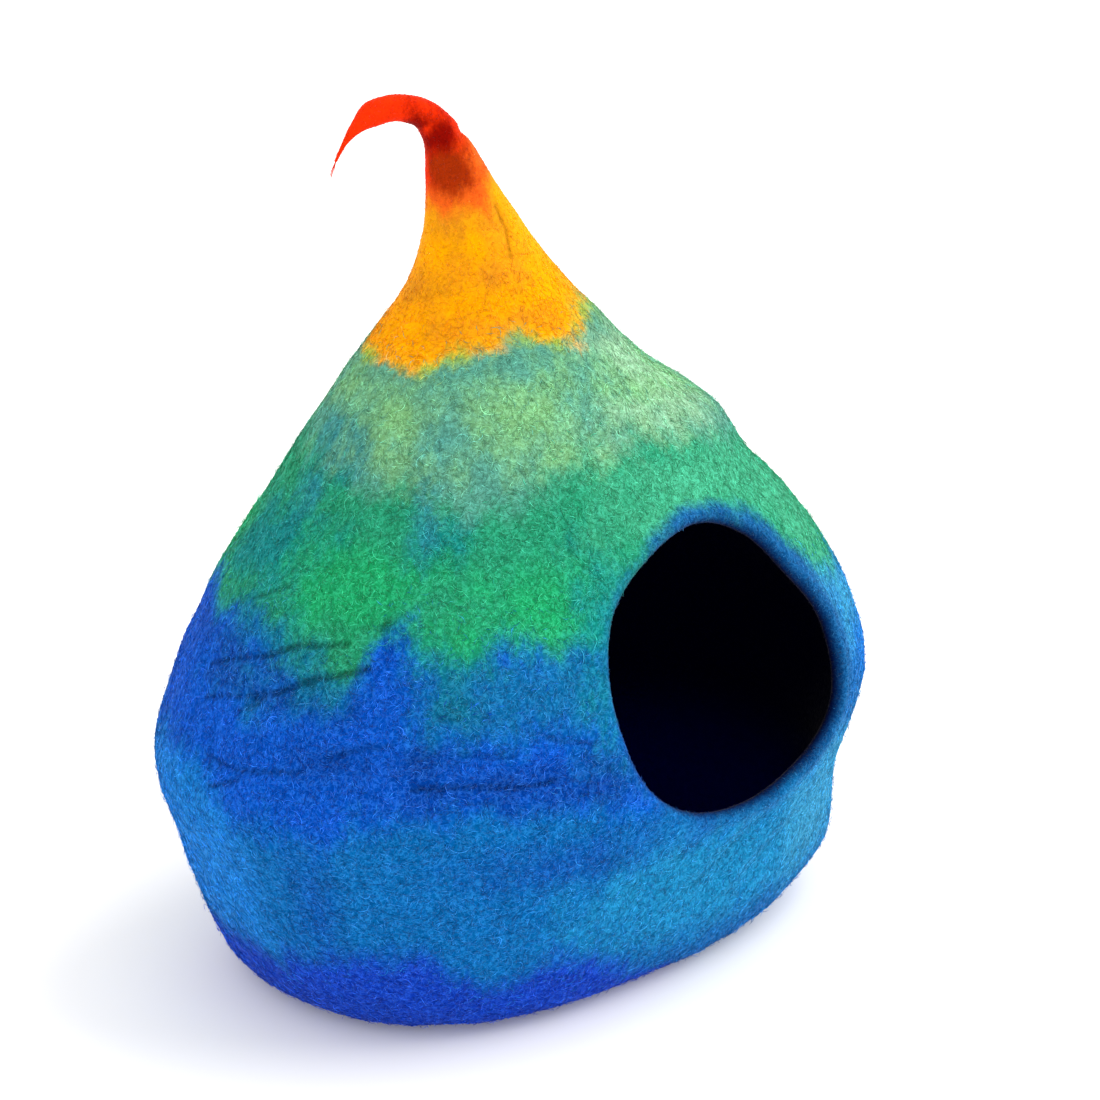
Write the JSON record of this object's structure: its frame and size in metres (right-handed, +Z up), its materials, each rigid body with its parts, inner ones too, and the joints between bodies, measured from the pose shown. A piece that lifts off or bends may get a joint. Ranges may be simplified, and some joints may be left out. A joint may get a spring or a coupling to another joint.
{
  "type": "felt cat cave",
  "caption": "Drop-shaped hollow pet cave of seamless hand-felted wool, with a round doorway in its side, a flat base and a curled tip.",
  "frame": {"origin": "on the floor, at the middle of the part's box seen from above", "axes": "+Z up to the tip; the doorway faces -Y; +X is the body's right end, seen from the front"},
  "size_m": [0.4982, 0.3556, 0.5569],
  "materials": {
    "wool_felt": "matt hand-felted wool about 7 mm thick, dyed in soft-edged bands: ultramarine and blue at the foot, then green, lime, orange and a red tip"
  },
  "bodies": {
    "root": {"felt_cave": "wool_felt"}
  },
  "joints": []
}
